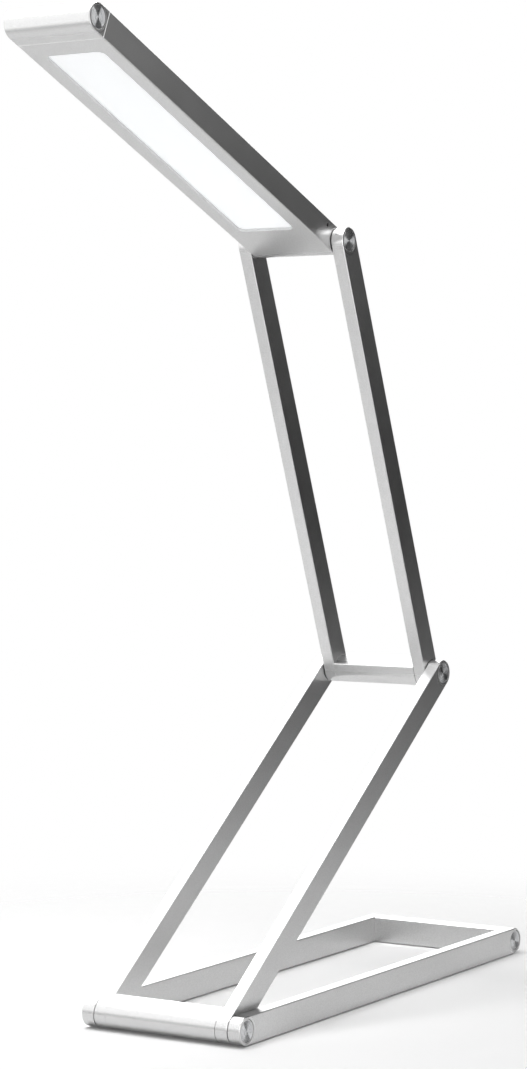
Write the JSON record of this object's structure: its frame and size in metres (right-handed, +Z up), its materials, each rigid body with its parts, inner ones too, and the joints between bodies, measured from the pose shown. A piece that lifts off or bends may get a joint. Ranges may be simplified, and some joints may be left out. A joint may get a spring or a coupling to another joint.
{
  "type": "folding desk lamp",
  "caption": "Desk lamp of narrowing aluminium frames and a slim light head, joined end to end by friction hinges so that each section folds flat into the one before it.",
  "frame": {"origin": "on the surface that the lamp stands on, in the middle of the box round the lamp as it stands in the picture's pose", "axes": "+X along the hinge axes, the charge light's side; +Y to the back of the base; +Z up"},
  "size_m": [0.0794, 0.3206, 0.4199],
  "materials": {
    "anodised_aluminium": "fine satin, blasted and clear anodised",
    "turned_aluminium": "faced on a lathe, with fine turning rings",
    "steel": "zinc plated",
    "nylon_liner": "plain black nylon",
    "rubber_pad": "matt",
    "opal_diffuser": "opal acrylic with a satin face",
    "clear_acrylic": "clear and polished",
    "white_film": "white reflecting film",
    "led_strip": "white coated circuit strip",
    "led_chip": "clear resin over yellow phosphor",
    "battery_foil": "laminated foil pouch",
    "foam_tape": "foam with adhesive on both faces",
    "lead_wire": "insulated wire",
    "circuit_board": "green solder mask",
    "socket_shell": "plated shell",
    "light_pipe": "clear moulded",
    "touch_key": "satin, colour of the housing"
  },
  "bodies": {
    "base": {"base_rail_left": "anodised_aluminium", "base_rail_right": "anodised_aluminium", "back_bar": "anodised_aluminium", "back_bar_screws": "steel", "back_bar_dowels": "steel", "rear_caps": "turned_aluminium", "foot_pads": "rubber_pad", "base_hinge_caps": "turned_aluminium", "base_hinge_springs": "steel"},
    "lower_arm": {"lower_rail_left": "anodised_aluminium", "lower_rail_right": "anodised_aluminium", "front_bar": "anodised_aluminium", "front_bar_dowels": "steel", "base_hinge_screws": "steel", "base_hinge_liners": "nylon_liner", "middle_hinge_caps": "turned_aluminium", "middle_hinge_springs": "steel"},
    "middle_arm": {"middle_rail_left": "anodised_aluminium", "middle_rail_right": "anodised_aluminium", "middle_bar": "anodised_aluminium", "middle_bar_dowels": "steel", "middle_hinge_screws": "steel", "middle_hinge_liners": "nylon_liner", "head_hinge_caps": "turned_aluminium", "head_hinge_springs": "steel"},
    "head": {"head_housing": "anodised_aluminium", "nose_bar": "anodised_aluminium", "nose_caps": "turned_aluminium", "head_hinge_screws": "steel", "head_hinge_liners": "nylon_liner", "diffuser": "opal_diffuser", "light_guide": "clear_acrylic", "reflector_sheet": "white_film", "led_strips": "led_strip", "led_chips": "led_chip", "battery": "battery_foil", "battery_tape": "foam_tape", "battery_leads": "lead_wire", "control_board": "circuit_board", "usb_socket": "socket_shell", "charge_light": "light_pipe", "touch_key": "touch_key", "touch_spring": "steel"}
  },
  "joints": [
    {"name": "base_hinge", "type": "hinge", "parent": "base", "child": "lower_arm", "pos_m": [0, -0.08265, 0.0064], "axis": [1, 0, 0], "range_deg": [-33, 53.4]},
    {"name": "middle_hinge", "type": "hinge", "parent": "lower_arm", "child": "middle_arm", "pos_m": [0, 0.09638, 0.13936], "axis": [-1, 0, 0], "range_deg": [-98, 73.6]},
    {"name": "head_hinge", "type": "hinge", "parent": "middle_arm", "child": "head", "pos_m": [0, 0.02421, 0.3355], "axis": [-1, 0, 0], "range_deg": [-133.9, 46.1]}
  ]
}
